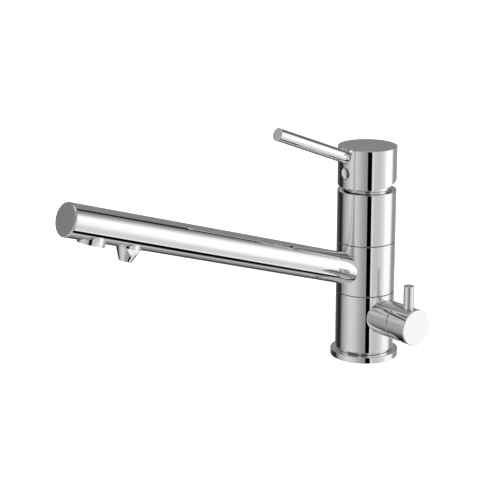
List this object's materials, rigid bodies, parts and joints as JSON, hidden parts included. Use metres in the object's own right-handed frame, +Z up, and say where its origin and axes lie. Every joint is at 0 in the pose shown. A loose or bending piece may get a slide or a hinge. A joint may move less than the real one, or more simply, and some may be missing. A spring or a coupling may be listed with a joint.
{
  "type": "three way filtered water tap",
  "caption": "Chrome single-hole kitchen tap with a long upward-sloping swivel spout, a tilting lever handle on top and a side valve with a separate outlet for filtered water.",
  "frame": {"origin": "centre of the foot, on the underside that sits on the worktop", "axes": "+Z up along the column, -Y to the front where the spout and the lever point, +X along the filter valve's branch"},
  "size_m": [0.0893, 0.3192, 0.2023],
  "materials": {
    "chrome_plate": "bright polished chrome plate",
    "brass": "machined brass",
    "stainless": "plain machined steel",
    "rubber": "matte black",
    "ceramic": "lapped ceramic",
    "nylon": "moulded white plastic",
    "black_plastic": "black bearing plastic"
  },
  "bodies": {
    "column": {"base_flange": "chrome_plate", "base_gasket": "rubber", "inlet_block": "brass", "body_core": "brass", "lower_body": "chrome_plate", "upper_body": "chrome_plate", "lower_slip_ring": "black_plastic", "upper_slip_ring": "black_plastic", "cartridge_body": "nylon", "cartridge_base": "nylon", "cartridge_fixed_disc": "ceramic", "cartridge_nut": "chrome_plate", "valve_headwork": "brass", "valve_seat_seal": "rubber", "valve_fixed_disc": "ceramic", "spindle_seal_lower": "rubber", "spindle_seal_middle": "rubber", "spindle_seal_upper": "rubber"},
    "spout": {"spout_collar": "chrome_plate", "spout_tube": "chrome_plate", "spout_end_cap": "chrome_plate", "main_outlet_collar": "chrome_plate", "aerator_housing": "nylon", "aerator_screen": "nylon", "filter_nozzle": "chrome_plate", "nozzle_insert": "nylon", "filtered_water_tube": "nylon", "water_elbow": "nylon"},
    "turret": {"cartridge_turret": "nylon", "cartridge_moving_disc": "ceramic", "stem_pivot_pin": "stainless"},
    "handle": {"cartridge_stem": "brass", "handle_cap": "chrome_plate", "lever_rod": "chrome_plate", "handle_screw": "stainless", "index_plug": "chrome_plate"},
    "knob": {"filter_knob": "chrome_plate", "knob_pin": "chrome_plate", "valve_spindle": "brass", "valve_moving_disc": "ceramic"}
  },
  "joints": [
    {"name": "spout_swivel", "type": "hinge", "parent": "column", "child": "spout", "pos_m": [0, 0, 0.0764], "axis": [0, 0, 1], "range_deg": [-60, 60]},
    {"name": "handle_turn", "type": "hinge", "parent": "column", "child": "turret", "pos_m": [0, 0, 0.13], "axis": [0, 0, 1], "range_deg": [-45, 45]},
    {"name": "handle_lift", "type": "hinge", "parent": "turret", "child": "handle", "pos_m": [0, 0, 0.145], "axis": [-1, 0, 0], "range_deg": [0, 16]},
    {"name": "filter_knob_turn", "type": "hinge", "parent": "column", "child": "knob", "pos_m": [0.0516, 0, 0.0376], "axis": [1, 0, 0], "range_deg": [0, 90]}
  ]
}
